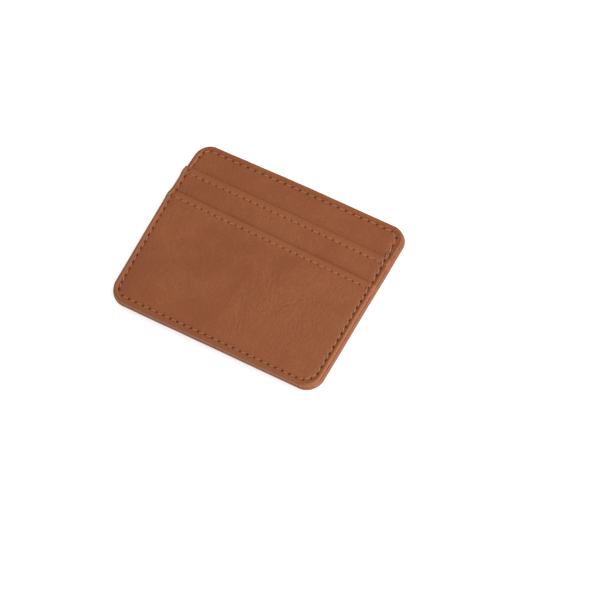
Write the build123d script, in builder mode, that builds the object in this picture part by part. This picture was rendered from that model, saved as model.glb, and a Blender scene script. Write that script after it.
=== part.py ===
import os
from math import ceil, cos, pi, radians, sin, sqrt, tan

from build123d import *

# A slim leather card holder with a sprung money clip on its back, lying on the clip with its
# card pockets up. X runs along the long side, Y towards the open top edge of the bill
# compartment, and Z out of the front. The origin is on the floor under the middle of the whole.
# The front half is a body panel and two pocket panels, the back half carries the clip, and a
# seam joins the two halves round the sides and the bottom. All sizes are in millimetres.

os.makedirs("parts", exist_ok=True)

# Front half, seen from the front
front_width = 100.1
front_height = 80.0
upper_mouth_drop = 13.8
lower_mouth_drop = 12.2
top_corner_radius = 6.5
bottom_corner_radius = 7.5
pocket_wrap = 0.3
upper_left_wrap = 0.85
nest_gap = 0.05

# Back half, whose bead stands past the front half
back_left_overhang = 0.55
back_right_overhang = 0.85
back_bottom_overhang = 0.8
back_top_inset = 0.2
back_waist_inset = 1.3

# Sheet thicknesses, from the back of the wallet to its front
back_leather = 0.6
back_board = 1.1
back_lining = 0.2
bill_gap = 0.1
front_lining = 0.15
front_board = 0.4
body_leather = 0.55
pocket_leather = 0.5

# Turned edges and folded mouths
turned_edge_width = 1.3
bead_radius = 0.5
seam_radius = 0.25
hem_depth = 4.2
hem_round = 0.35
hem_foot_round = 0.2

# Sewing: channels that the rows of stitches draw down in the leather
seam_inset = 2.25
hem_row_drop = 2.95
channel_width = 0.8
channel_depth = 0.2

# Clip: a sheet steel arm that rocks on a pin between the ears of a riveted base plate
arm_width = 22.0
arm_thickness = 0.9
clip_throat = 2.5
pivot_x = -22.0
tail_length = 8.0
tail_corner_radius = 2.5
pinch_reach = 44.0
pinch_gap = 0.1
pinch_radius = 4.0
rise_angle = 20.0
rise_radius = 6.0
lip_angle = 15.0
lip_length = 5.5
lip_corner_radius = 4.0
arm_edge_round = 0.2
cheek_thickness = 0.8
cheek_foot = 7.0
cheek_radius = 1.6

base_thickness = 0.8
base_tail = 9.0
base_reach = 17.0
base_corner_radius = 1.5
base_edge_round = 0.2
ear_radius = 1.15
ear_foot = 4.4
ear_play = 0.15

pin_radius = 0.6
pin_fit = 0.02
pin_play = 0.05
pin_head_radius = 1.1
pin_head_height = 0.5
pin_head_gap = 0.1

rivet_radius = 1.0
rivet_fit = 0.03
rivet_head_radius = 1.9
rivet_head_height = 0.6
rivet_spacing_x = 9.0
rivet_spacing_y = 12.0
rivet_centre_from_pivot = 10.0
rivet_tail_radius = 1.6
rivet_tail_height = 0.35

backing_thickness = 0.4
backing_margin = 2.5
backing_gap = 0.1
backing_corner_radius = 2.0

# Torsion spring, wound round the pin
wire_diameter = 0.45
coil_gap = 0.42
coil_pin_gap = 0.1
coil_turns = 9
leg_length = 5.0

overrun = 1.0

# Heights, from the floor up
pivot_z = arm_thickness + clip_throat / 2
back_face_z = arm_thickness + clip_throat + base_thickness
back_board_z = back_face_z + back_leather
back_lining_z = back_board_z + back_board
seam_z = back_lining_z + back_lining + bill_gap / 2
front_lining_z = seam_z + bill_gap / 2
front_board_z = front_lining_z + front_lining
body_leather_z = front_board_z + front_board
body_face_z = body_leather_z + body_leather
upper_face_z = body_face_z + pocket_leather
lower_face_z = upper_face_z + pocket_leather

# Plan of the panels. Each panel's edges are turned over the one that it covers, so that one is
# smaller by the wrap, and more so at the left, where the front half steps out at each mouth
wallet_width = back_left_overhang + front_width + back_right_overhang
back_left_x = -wallet_width / 2
back_right_x = wallet_width / 2
top_y = (front_height + back_bottom_overhang) / 2
upper_mouth_y = top_y - upper_mouth_drop
lower_mouth_y = upper_mouth_y - lower_mouth_drop

wrap = pocket_wrap + nest_gap
lower_left_x = back_left_x + back_left_overhang
lower_right_x = lower_left_x + front_width
lower_bottom_y = top_y - front_height
upper_left_x = lower_left_x + wrap
upper_right_x = lower_right_x - wrap
upper_bottom_y = lower_bottom_y + wrap
upper_corner_radius = bottom_corner_radius - wrap
body_left_x = upper_left_x + upper_left_wrap + nest_gap
body_right_x = upper_right_x - wrap
body_bottom_y = upper_bottom_y + wrap
body_corner_radius = upper_corner_radius - wrap


def plan(left, right, bottom, top, bottom_radius, top_radius, inset=0):
    # A panel's outline, drawn in from its edge all round by the inset
    with BuildSketch() as shape:
        with BuildLine():
            FilletPolyline(
                (right - inset, bottom + inset),
                (right - inset, top - inset),
                (left + inset, top - inset),
                (left + inset, bottom + inset),
                radius=[
                    max(bottom_radius - inset, 0),
                    max(top_radius - inset, 0),
                    max(top_radius - inset, 0),
                    max(bottom_radius - inset, 0),
                ],
                close=True,
            )
        make_face()
    return shape.sketch


def body_plan(inset=0):
    return plan(
        body_left_x, body_right_x, body_bottom_y, top_y, body_corner_radius, top_corner_radius, inset
    )


# The back half is wide at the pockets, where the seam holds more leather. Above them its left side
# draws in with the front half
back_bottom_y = lower_bottom_y - back_bottom_overhang
back_top_y = top_y - back_top_inset


def back_plan(inset=0):
    left_low = back_left_x + inset
    left_high = back_left_x + back_waist_inset + inset
    right = back_right_x - inset
    bottom = back_bottom_y + inset
    top = back_top_y - inset
    bottom_radius = bottom_corner_radius + back_left_overhang - inset
    top_radius = top_corner_radius - inset
    waist_radius = upper_mouth_drop
    with BuildSketch() as shape:
        with BuildLine():
            FilletPolyline(
                (right, bottom),
                (right, top),
                (left_high, top),
                (left_high, upper_mouth_y),
                (left_low, lower_mouth_y),
                (left_low, bottom),
                radius=[bottom_radius, top_radius, top_radius, waist_radius, waist_radius, bottom_radius],
                close=True,
            )
        make_face()
    return shape.sketch


# Sewn channels: the band of an outline between two insets, either side of the row of stitches
channel_outer_inset = seam_inset - channel_width / 2
channel_inner_inset = seam_inset + channel_width / 2


def seam_band(left, right, bottom, top, bottom_radius):
    # The seam's band round the sides and the bottom of a pocket, open at its top
    with BuildSketch() as band:
        add(plan(left, right, bottom, top + channel_outer_inset, bottom_radius, 0, channel_outer_inset))
        add(
            plan(left, right, bottom, top + channel_inner_inset, bottom_radius, 0, channel_inner_inset),
            mode=Mode.SUBTRACT,
        )
    return band.sketch


def hem_bands(left, right, mouth):
    # The bands on a hem: one along its row of stitches, and the seam's two ends beside it
    with BuildSketch() as bands:
        with Locations(((left + right) / 2, mouth - hem_row_drop)):
            Rectangle(right - left - 2 * bead_radius, channel_width)
        with Locations((left + seam_inset, mouth), (right - seam_inset, mouth)):
            Rectangle(channel_width, hem_depth, align=(Align.CENTER, Align.MAX))
    return bands.sketch


# Back half

rivet_x = pivot_x + rivet_centre_from_pivot
backing_length = rivet_spacing_x + 2 * (rivet_tail_radius + backing_margin)
backing_width = rivet_spacing_y + 2 * (rivet_tail_radius + backing_margin)
backing_room = backing_thickness + rivet_tail_height + backing_gap
backing_z = back_lining_z - backing_room
rivet_hole_radius = rivet_radius + rivet_fit

with BuildPart() as back_body_panel:
    with BuildSketch(Plane.XY.offset(back_face_z)):
        add(back_plan())
    extrude(amount=seam_z - back_face_z)
    fillet(back_body_panel.edges().group_by(Axis.Z)[0], bead_radius)
    fillet(back_body_panel.edges().group_by(Axis.Z)[-1], seam_radius)
    with BuildSketch(Plane.XY.offset(back_face_z)):
        add(back_plan(channel_outer_inset + back_bottom_overhang))
        add(back_plan(channel_inner_inset + back_bottom_overhang), mode=Mode.SUBTRACT)
    extrude(amount=channel_depth, mode=Mode.SUBTRACT)
    with BuildSketch(Plane.XY.offset(back_board_z)):
        add(back_plan(turned_edge_width))
    extrude(amount=seam_z - back_board_z, mode=Mode.SUBTRACT)
    with BuildSketch(Plane.XY.offset(back_face_z)):
        with Locations((rivet_x, 0)):
            with GridLocations(rivet_spacing_x, rivet_spacing_y, 2, 2):
                Circle(rivet_hole_radius)
    extrude(amount=back_leather, mode=Mode.SUBTRACT)

with BuildPart() as back_stiffener:
    with BuildSketch(Plane.XY.offset(back_board_z)):
        add(back_plan(turned_edge_width + nest_gap))
    extrude(amount=back_board)
    with BuildSketch(Plane.XY.offset(backing_z)):
        with Locations((rivet_x, 0)):
            RectangleRounded(
                backing_length + 2 * nest_gap,
                backing_width + 2 * nest_gap,
                backing_corner_radius + nest_gap,
            )
    extrude(amount=backing_room, mode=Mode.SUBTRACT)
    with BuildSketch(Plane.XY.offset(back_board_z)):
        with Locations((rivet_x, 0)):
            with GridLocations(rivet_spacing_x, rivet_spacing_y, 2, 2):
                Circle(rivet_hole_radius)
    extrude(amount=back_board, mode=Mode.SUBTRACT)

with BuildPart() as back_compartment_lining:
    with BuildSketch(Plane.XY.offset(back_lining_z)):
        add(back_plan(turned_edge_width + nest_gap))
    extrude(amount=back_lining)

with BuildPart() as clip_backing_plate:
    with BuildSketch(Plane.XY.offset(backing_z)):
        with Locations((rivet_x, 0)):
            RectangleRounded(backing_length, backing_width, backing_corner_radius)
            with GridLocations(rivet_spacing_x, rivet_spacing_y, 2, 2):
                Circle(rivet_hole_radius, mode=Mode.SUBTRACT)
    extrude(amount=backing_thickness)

# Front half

with BuildPart() as front_compartment_lining:
    with BuildSketch(Plane.XY.offset(front_lining_z)):
        add(body_plan(turned_edge_width + nest_gap))
    extrude(amount=front_lining)

with BuildPart() as front_stiffener:
    with BuildSketch(Plane.XY.offset(front_board_z)):
        add(body_plan(turned_edge_width + nest_gap))
    extrude(amount=front_board)

with BuildPart() as front_body_panel:
    with BuildSketch(Plane.XY.offset(seam_z)):
        add(body_plan())
    extrude(amount=body_face_z - seam_z)
    fillet(front_body_panel.edges().group_by(Axis.Z)[0], seam_radius)
    fillet(front_body_panel.edges().group_by(Axis.Z)[-1], bead_radius)
    with BuildSketch(Plane.XY.offset(body_face_z)):
        add(body_plan(channel_outer_inset))
        add(body_plan(channel_inner_inset), mode=Mode.SUBTRACT)
    extrude(amount=-channel_depth, mode=Mode.SUBTRACT)
    with BuildSketch(Plane.XY.offset(seam_z)):
        add(body_plan(turned_edge_width))
    extrude(amount=body_leather_z - seam_z, mode=Mode.SUBTRACT)

with BuildPart() as upper_pocket_panel:
    with BuildSketch(Plane.XY.offset(seam_z)):
        add(plan(upper_left_x, upper_right_x, upper_bottom_y, upper_mouth_y, upper_corner_radius, 0))
    extrude(amount=upper_face_z - seam_z)
    fillet(upper_pocket_panel.edges().group_by(Axis.Z)[0].sort_by(Axis.Y)[:-1], seam_radius)
    fillet(upper_pocket_panel.edges().group_by(Axis.Z)[-1].sort_by(Axis.Y)[:-1], bead_radius)
    with BuildSketch(Plane.XY.offset(upper_face_z)):
        with Locations(((upper_left_x + upper_right_x) / 2, upper_mouth_y)):
            Rectangle(
                upper_right_x - upper_left_x - 2 * bead_radius,
                hem_depth,
                align=(Align.CENTER, Align.MAX),
            )
    extrude(amount=pocket_leather)
    fillet(upper_pocket_panel.edges().group_by(Axis.Z)[-1].sort_by(Axis.Y)[-1], hem_round)
    fillet(upper_pocket_panel.edges().group_by(Axis.Z)[-1].sort_by(Axis.Y)[0], hem_foot_round)
    with BuildSketch(Plane.XY.offset(seam_z)):
        add(
            plan(
                body_left_x - nest_gap,
                body_right_x + nest_gap,
                body_bottom_y - nest_gap,
                upper_mouth_y + overrun,
                body_corner_radius + nest_gap,
                0,
            )
        )
    extrude(amount=body_face_z - seam_z, mode=Mode.SUBTRACT)
    with BuildSketch(Plane.XY.offset(upper_face_z)):
        add(
            seam_band(
                upper_left_x,
                upper_right_x,
                upper_bottom_y,
                upper_mouth_y - hem_depth,
                upper_corner_radius,
            )
        )
    extrude(amount=-channel_depth, mode=Mode.SUBTRACT)
    with BuildSketch(Plane.XY.offset(upper_face_z + pocket_leather)):
        add(hem_bands(upper_left_x, upper_right_x, upper_mouth_y))
    extrude(amount=-channel_depth, mode=Mode.SUBTRACT)

with BuildPart() as lower_pocket_panel:
    with BuildSketch(Plane.XY.offset(seam_z)):
        add(plan(lower_left_x, lower_right_x, lower_bottom_y, lower_mouth_y, bottom_corner_radius, 0))
    extrude(amount=lower_face_z - seam_z)
    fillet(lower_pocket_panel.edges().group_by(Axis.Z)[0].sort_by(Axis.Y)[:-1], seam_radius)
    fillet(lower_pocket_panel.edges().group_by(Axis.Z)[-1].sort_by(Axis.Y)[:-1], bead_radius)
    with BuildSketch(Plane.XY.offset(lower_face_z)):
        with Locations(((lower_left_x + lower_right_x) / 2, lower_mouth_y)):
            Rectangle(
                lower_right_x - lower_left_x - 2 * bead_radius,
                hem_depth,
                align=(Align.CENTER, Align.MAX),
            )
    extrude(amount=pocket_leather)
    fillet(lower_pocket_panel.edges().group_by(Axis.Z)[-1].sort_by(Axis.Y)[-1], hem_round)
    fillet(lower_pocket_panel.edges().group_by(Axis.Z)[-1].sort_by(Axis.Y)[0], hem_foot_round)
    with BuildSketch(Plane.XY.offset(seam_z)):
        add(
            plan(
                upper_left_x - nest_gap,
                upper_right_x + nest_gap,
                upper_bottom_y - nest_gap,
                lower_mouth_y + overrun,
                upper_corner_radius + nest_gap,
                0,
            )
        )
    extrude(amount=upper_face_z - seam_z, mode=Mode.SUBTRACT)
    with BuildSketch(Plane.XY.offset(lower_face_z)):
        add(
            seam_band(
                lower_left_x,
                lower_right_x,
                lower_bottom_y,
                lower_mouth_y - hem_depth,
                bottom_corner_radius,
            )
        )
    extrude(amount=-channel_depth, mode=Mode.SUBTRACT)
    with BuildSketch(Plane.XY.offset(lower_face_z + pocket_leather)):
        add(hem_bands(lower_left_x, lower_right_x, lower_mouth_y))
    extrude(amount=-channel_depth, mode=Mode.SUBTRACT)

# Clip base plate: flat on the leather, with an ear bent down at each side to hold the pin


def lug_plan(lug_radius, foot_width, foot_z):
    # The side view of an ear or a cheek: round about the pin, spreading to its foot on the plate
    with BuildSketch() as shape:
        with Locations((pivot_x, pivot_z)):
            Circle(lug_radius)
        with BuildLine():
            Polyline(
                (pivot_x - foot_width / 2, foot_z),
                (pivot_x - lug_radius, pivot_z),
                (pivot_x + lug_radius, pivot_z),
                (pivot_x + foot_width / 2, foot_z),
                close=True,
            )
        make_face()
    return shape.sketch


cheek_inner_y = arm_width / 2 - cheek_thickness
ear_outer_y = cheek_inner_y - ear_play
base_under_z = back_face_z - base_thickness
pin_hole_radius = pin_radius + pin_fit

with BuildPart() as clip_base_plate:
    with BuildSketch(Plane.XY.offset(base_under_z)):
        with Locations((pivot_x - base_tail, 0)):
            Rectangle(base_tail + base_reach, 2 * ear_outer_y, align=(Align.MIN, Align.CENTER))
    extrude(amount=base_thickness)
    fillet(clip_base_plate.edges().filter_by(Axis.Z), base_corner_radius)
    fillet(clip_base_plate.edges().group_by(Axis.Z)[0], base_edge_round)
    with BuildSketch(Plane.XZ.offset(-ear_outer_y)):
        add(lug_plan(ear_radius, ear_foot, base_under_z))
    extrude(amount=base_thickness)
    mirror(about=Plane.XZ)
    with BuildSketch(Plane.XZ.offset(-ear_outer_y - overrun)):
        with Locations((pivot_x, pivot_z)):
            Circle(pin_hole_radius)
    extrude(amount=2 * (ear_outer_y + overrun), mode=Mode.SUBTRACT)
    with BuildSketch(Plane.XY.offset(base_under_z)):
        with Locations((rivet_x, 0)):
            with GridLocations(rivet_spacing_x, rivet_spacing_y, 2, 2):
                Circle(rivet_hole_radius)
    extrude(amount=base_thickness, mode=Mode.SUBTRACT)

# Rivets: a domed head under the base plate, a shank through leather and board, a set tail inside

rivet_tail_z = backing_z + backing_thickness
rivet_head_z = base_under_z - rivet_head_height

with BuildPart() as one_rivet:
    with BuildSketch(Plane.XZ):
        with BuildLine():
            Polyline(
                (0, rivet_head_z),
                (0, rivet_tail_z + rivet_tail_height),
                (rivet_tail_radius, rivet_tail_z + rivet_tail_height),
                (rivet_tail_radius, rivet_tail_z),
                (rivet_radius, rivet_tail_z),
                (rivet_radius, base_under_z),
                (rivet_head_radius, base_under_z),
            )
            TangentArc(
                (0, rivet_head_z),
                (rivet_head_radius, base_under_z),
                tangent=(1, 0),
            )
        make_face()
    revolve(axis=Axis.Z)

with BuildPart() as clip_rivets:
    with Locations((rivet_x, 0, 0)):
        with GridLocations(rivet_spacing_x, rivet_spacing_y, 2, 2):
            add(one_rivet.part)

# Hinge pin: fast in the ears, with a formed head outside each cheek of the arm

pin_half_length = arm_width / 2 + pin_head_gap

with BuildPart() as clip_hinge_pin:
    with BuildSketch(Plane.YZ.offset(pivot_x)):
        with BuildLine():
            Polyline(
                (0, pivot_z),
                (0, pivot_z + pin_radius),
                (pin_half_length, pivot_z + pin_radius),
                (pin_half_length, pivot_z + pin_head_radius),
            )
            TangentArc(
                (pin_half_length + pin_head_height, pivot_z),
                (pin_half_length, pivot_z + pin_head_radius),
                tangent=(0, 1),
            )
            Line((pin_half_length + pin_head_height, pivot_z), (0, pivot_z))
        make_face()
    revolve(axis=Axis((pivot_x, 0, pivot_z), (0, 1, 0)))
    mirror(about=Plane.XZ)

# Torsion spring: one wire wound round the pin, whose two legs push tail and base plate apart

coil_radius = pin_radius + coil_pin_gap + wire_diameter / 2
coil_pitch = wire_diameter + coil_gap
coil_width = coil_pitch * (coil_turns + 1 / 2)
coil_rise = coil_pitch / (2 * pi)


def coil_point(angle):
    return Vector(
        pivot_x + coil_radius * sin(angle),
        coil_rise * angle - coil_width / 2,
        pivot_z + coil_radius * cos(angle),
    )


def coil_direction(angle):
    return Vector(coil_radius * cos(angle), coil_rise, -coil_radius * sin(angle)).normalized()


def biarc_joint(start_angle, end_angle):
    # The point where two arcs meet that leave both ends along the wire, equally far from each
    start, end = coil_point(start_angle), coil_point(end_angle)
    leave, arrive = coil_direction(start_angle), coil_direction(end_angle)
    chord = end - start
    spread = 2 * (leave.dot(arrive) - 1)
    along = -2 * chord.dot(leave + arrive)
    reach = (-along - sqrt(along * along - 4 * spread * chord.dot(chord))) / (2 * spread)
    return (start + leave * reach + end - arrive * reach) * (1 / 2)


half_turns = 2 * coil_turns + 1
turn_angles = [pi * step for step in range(half_turns + 1)]
coil_start = coil_point(turn_angles[0])
coil_end = coil_point(turn_angles[-1])
leg_start = coil_start - coil_direction(turn_angles[0]) * leg_length
leg_end = coil_end + coil_direction(turn_angles[-1]) * leg_length

with BuildPart() as clip_torsion_spring:
    with BuildLine() as spring_wire:
        Line(leg_start, coil_start)
        for before, after in zip(turn_angles, turn_angles[1:]):
            joint = biarc_joint(before, after)
            first_arc = TangentArc(coil_point(before), joint, tangent=coil_direction(before))
            TangentArc(joint, coil_point(after), tangent=first_arc % 1)
        Line(coil_end, leg_end)
    with BuildSketch(Plane(leg_start, z_dir=coil_direction(turn_angles[0]))):
        Circle(wire_diameter / 2)
    sweep()

# The least gap of the wire to itself, measured between points on its line more than half a turn apart
wire_line = spring_wire.wires()[0]
samples_per_turn = 24
sample_count = samples_per_turn * (coil_turns + 4)
wire_points = [wire_line.position_at(step / sample_count) for step in range(sample_count + 1)]
half_turn_length = pi * coil_radius
sample_spacing = wire_line.length / sample_count
skip = ceil(half_turn_length / sample_spacing)
least_gap = min(
    (wire_points[first] - wire_points[second]).length
    for first in range(sample_count + 1)
    for second in range(first + skip, sample_count + 1)
) - wire_diameter
print("spring wire length", round(wire_line.length, 2), "least gap", round(least_gap, 3))

# Clip arm: a formed strip with a tail to press, a pinch that meets the leather and a flared lip

pinch_x = pivot_x + pinch_reach
rise = radians(rise_angle)
fall = radians(lip_angle)
pinch_crest_z = back_face_z - pinch_gap - arm_thickness / 2
corner_share = cos((rise - fall) / 2) / cos((rise + fall) / 2) - 1
pinch_corner_z = pinch_crest_z + pinch_radius * corner_share
rise_start_x = pinch_x - (pinch_corner_z - arm_thickness / 2) / tan(rise)
lip_end_x = pinch_x + lip_length * cos(fall)
lip_end_z = pinch_corner_z - lip_length * sin(fall)

with BuildPart() as clip_arm:
    with BuildSketch(Plane.XZ):
        with BuildLine():
            FilletPolyline(
                (pivot_x - tail_length, arm_thickness / 2),
                (rise_start_x, arm_thickness / 2),
                (pinch_x, pinch_corner_z),
                (lip_end_x, lip_end_z),
                radius=[rise_radius, pinch_radius],
            )
        trace(line_width=arm_thickness)
    extrude(amount=arm_width / 2, both=True)
    fillet(
        clip_arm.faces().sort_by(Axis.X)[0].edges().sort_by(SortBy.LENGTH)[:2],
        tail_corner_radius,
    )
    fillet(
        clip_arm.faces().sort_by(Axis.X)[-1].edges().sort_by(SortBy.LENGTH)[:2],
        lip_corner_radius,
    )
    fillet(clip_arm.faces().filter_by(Axis.Y).edges(), arm_edge_round)
    with BuildSketch(Plane.XZ.offset(-arm_width / 2)):
        add(lug_plan(cheek_radius, cheek_foot, arm_thickness / 2))
    extrude(amount=cheek_thickness)
    with BuildSketch(Plane.XZ.offset(arm_width / 2 - cheek_thickness)):
        add(lug_plan(cheek_radius, cheek_foot, arm_thickness / 2))
    extrude(amount=cheek_thickness)
    with BuildSketch(Plane.XZ.offset(-arm_width / 2 - overrun)):
        with Locations((pivot_x, pivot_z)):
            Circle(pin_radius + pin_play)
    extrude(amount=arm_width + 2 * overrun, mode=Mode.SUBTRACT)

# Files, one for each piece

back_body_panel.part.label = "back_body_panel"
export_step(back_body_panel.part, "parts/back_body_panel.step")
back_stiffener.part.label = "back_stiffener"
export_step(back_stiffener.part, "parts/back_stiffener.step")
back_compartment_lining.part.label = "back_compartment_lining"
export_step(back_compartment_lining.part, "parts/back_compartment_lining.step")
front_compartment_lining.part.label = "front_compartment_lining"
export_step(front_compartment_lining.part, "parts/front_compartment_lining.step")
front_stiffener.part.label = "front_stiffener"
export_step(front_stiffener.part, "parts/front_stiffener.step")
front_body_panel.part.label = "front_body_panel"
export_step(front_body_panel.part, "parts/front_body_panel.step")
upper_pocket_panel.part.label = "upper_pocket_panel"
export_step(upper_pocket_panel.part, "parts/upper_pocket_panel.step")
lower_pocket_panel.part.label = "lower_pocket_panel"
export_step(lower_pocket_panel.part, "parts/lower_pocket_panel.step")
clip_backing_plate.part.label = "clip_backing_plate"
export_step(clip_backing_plate.part, "parts/clip_backing_plate.step")
clip_base_plate.part.label = "clip_base_plate"
export_step(clip_base_plate.part, "parts/clip_base_plate.step")
clip_rivets.part.label = "clip_rivets"
export_step(clip_rivets.part, "parts/clip_rivets.step")
clip_hinge_pin.part.label = "clip_hinge_pin"
export_step(clip_hinge_pin.part, "parts/clip_hinge_pin.step")
clip_torsion_spring.part.label = "clip_torsion_spring"
export_step(clip_torsion_spring.part, "parts/clip_torsion_spring.step")
clip_arm.part.label = "clip_arm"
export_step(clip_arm.part, "parts/clip_arm.step")
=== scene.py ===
from math import atan2, ceil, copysign, cos, exp, pi, radians, sin, tan

import bmesh
import bpy
from bmesh.types import BMEdge, BMFace, BMVert
from mathutils import Matrix, Vector, noise
from mathutils.bvhtree import BVHTree
from mathutils.kdtree import KDTree
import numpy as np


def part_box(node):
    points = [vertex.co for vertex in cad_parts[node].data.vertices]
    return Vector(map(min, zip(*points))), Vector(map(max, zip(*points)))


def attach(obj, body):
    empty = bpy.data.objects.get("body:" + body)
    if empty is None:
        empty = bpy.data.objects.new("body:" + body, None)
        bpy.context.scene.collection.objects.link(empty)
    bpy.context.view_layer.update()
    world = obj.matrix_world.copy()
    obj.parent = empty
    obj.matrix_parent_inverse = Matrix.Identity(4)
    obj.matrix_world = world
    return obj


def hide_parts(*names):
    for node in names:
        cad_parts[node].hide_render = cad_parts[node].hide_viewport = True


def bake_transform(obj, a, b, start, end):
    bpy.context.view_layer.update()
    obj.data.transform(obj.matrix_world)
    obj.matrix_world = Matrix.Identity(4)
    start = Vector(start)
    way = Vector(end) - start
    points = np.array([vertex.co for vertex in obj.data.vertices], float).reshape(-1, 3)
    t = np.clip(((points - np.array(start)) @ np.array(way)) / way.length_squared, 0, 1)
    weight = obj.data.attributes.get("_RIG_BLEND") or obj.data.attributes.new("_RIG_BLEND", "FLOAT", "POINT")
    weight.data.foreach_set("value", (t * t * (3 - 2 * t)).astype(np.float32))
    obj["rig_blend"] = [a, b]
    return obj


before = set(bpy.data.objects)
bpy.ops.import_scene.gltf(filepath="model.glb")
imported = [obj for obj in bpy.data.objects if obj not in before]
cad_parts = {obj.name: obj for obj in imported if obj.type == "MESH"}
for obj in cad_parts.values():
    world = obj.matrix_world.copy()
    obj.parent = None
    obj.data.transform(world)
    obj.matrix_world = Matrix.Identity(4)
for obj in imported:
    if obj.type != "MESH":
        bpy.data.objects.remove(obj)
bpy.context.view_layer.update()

# Shapes are worked out in millimetres, and put into metres when a mesh is finished
mm = 0.001


def nodeBox(node):
    low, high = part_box(node)
    return low / mm, high / mm


backLow, backHigh = nodeBox("back_body_panel")
bodyLow, bodyHigh = nodeBox("front_body_panel")
upperLow, upperHigh = nodeBox("upper_pocket_panel")
lowerLow, lowerHigh = nodeBox("lower_pocket_panel")

seamHeight = backHigh.z
pocketLeather = 0.5  # the hem doubles it, so a pocket's box is two of these above the panel below
lowerFace = lowerHigh.z - pocketLeather
upperFace = upperHigh.z - pocketLeather
topEdge = bodyHigh.y
upperMouth = upperHigh.y
lowerMouth = lowerHigh.y
frontRight = lowerHigh.x  # the front panels' right edges are flush
frontOverhang = 0.45  # how far the lower pocket's bead comes down over the back's

# The sewn wallet's mouths and top edge run a little askew. Each row is a height, and how far the
# leather is moved there at the left, in the middle and at the right
askewAcross = (
    (-40.4, 0.35, 0.0, -0.42),
    (-10.0, 0.12, 0.0, -0.05),
    (14.4, -0.02, 0.0, 0.28),
    (21.0, 0.14, 0.0, 0.38),
    (28.5, -0.14, 0.0, 0.5),
    (40.4, 0.7, 0.0, 0.66),
)
askewUp = (
    (-40.4, -0.45, -0.3, -0.18),
    (-5.0, 0.05, -0.2, -0.3),
    (14.4, -0.22, -0.72, -1.32),
    (26.6, -0.15, -0.08, -0.38),
    (37.9, -0.5, 0.1, 0.66),
    (40.4, -0.4, 0.18, 0.82),
)
askewSpan = 47.0  # how far from the middle the left and right values lie
askewPast = 1.15  # how much further out the bend goes on, as a share of that


def clamp(value, low=0.0, high=1.0):
    return min(max(value, low), high)


def smoothStep(value, start, end):
    share = clamp((value - start) / (end - start))
    return share * share * (3 - 2 * share)


def bump(distance, width):
    return exp(-(distance / width) ** 2)


def ridge(distance, shape):
    # A shape is a height, the distance at which it is reached, and a width
    height, place, width = shape
    return height * bump(distance - place, width)


def waver(x, y, z, size=1.0):
    # Smooth noise whose waves are about that size
    return noise.noise(Vector((x, y, z)) / size)


def readAskew(rows, x, y):
    share = clamp(x / askewSpan, -askewPast, askewPast)
    for lower, upper in zip(rows, rows[1:]):
        if y <= upper[0]:
            break
    blend = clamp((y - lower[0]) / (upper[0] - lower[0]))
    left, middle, right = (a + (b - a) * blend for a, b in zip(lower[1:], upper[1:]))
    return middle + (right - left) / 2 * share + ((right + left) / 2 - middle) * share * share


def askew(point):
    x, y = point[0], point[1]
    return Vector((readAskew(askewAcross, x, y), readAskew(askewUp, x, y), 0))


def roundedPath(corners, radii, closed=False):
    # A path in the plan of the wallet: corners joined by straight runs and arcs
    points = [Vector(corner) for corner in corners]
    bends = []
    for index, (corner, radius) in enumerate(zip(points, radii)):
        if not closed and index in (0, len(points) - 1):
            bends.append({"start": corner, "end": corner, "sweep": 0.0})
            continue
        before = (points[index - 1] - corner).normalized()
        after = (points[(index + 1) % len(points)] - corner).normalized()
        half = before.angle(after) / 2
        reach = radius / tan(half)
        bends.append({
            "start": corner + before * reach,
            "end": corner + after * reach,
            "centre": corner + (before + after).normalized() * (radius / sin(half)),
            "sweep": copysign(pi - 2 * half, -before.cross(after)),
            "radius": radius,
        })
    runs = []
    for index, bend in enumerate(bends):
        if bend["sweep"]:
            runs.append({"length": abs(bend["sweep"]) * bend["radius"], "bend": bend})
        if closed or index < len(bends) - 1:
            following = bends[(index + 1) % len(bends)]
            step = following["start"] - bend["end"]
            runs.append({"length": step.length, "from": bend["end"], "step": step})
    return runs


def pathLength(path):
    return sum(run["length"] for run in path)


def alongPath(path, distance):
    # The point at that distance along the path, and the direction there
    for run in path:
        if distance <= run["length"] or run is path[-1]:
            break
        distance -= run["length"]
    share = clamp(distance / run["length"])
    if "bend" in run:
        bend = run["bend"]
        angle = bend["sweep"] * share
        arm = bend["start"] - bend["centre"]
        turned = Matrix.Rotation(angle, 2) @ arm
        ahead = Vector((-turned.y, turned.x)) * copysign(1, angle or bend["sweep"])
        return bend["centre"] + turned, ahead.normalized()
    return run["from"] + run["step"] * share, run["step"].normalized()


# Sewing: the rows, their holes, and how the leather is drawn down round them

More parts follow.
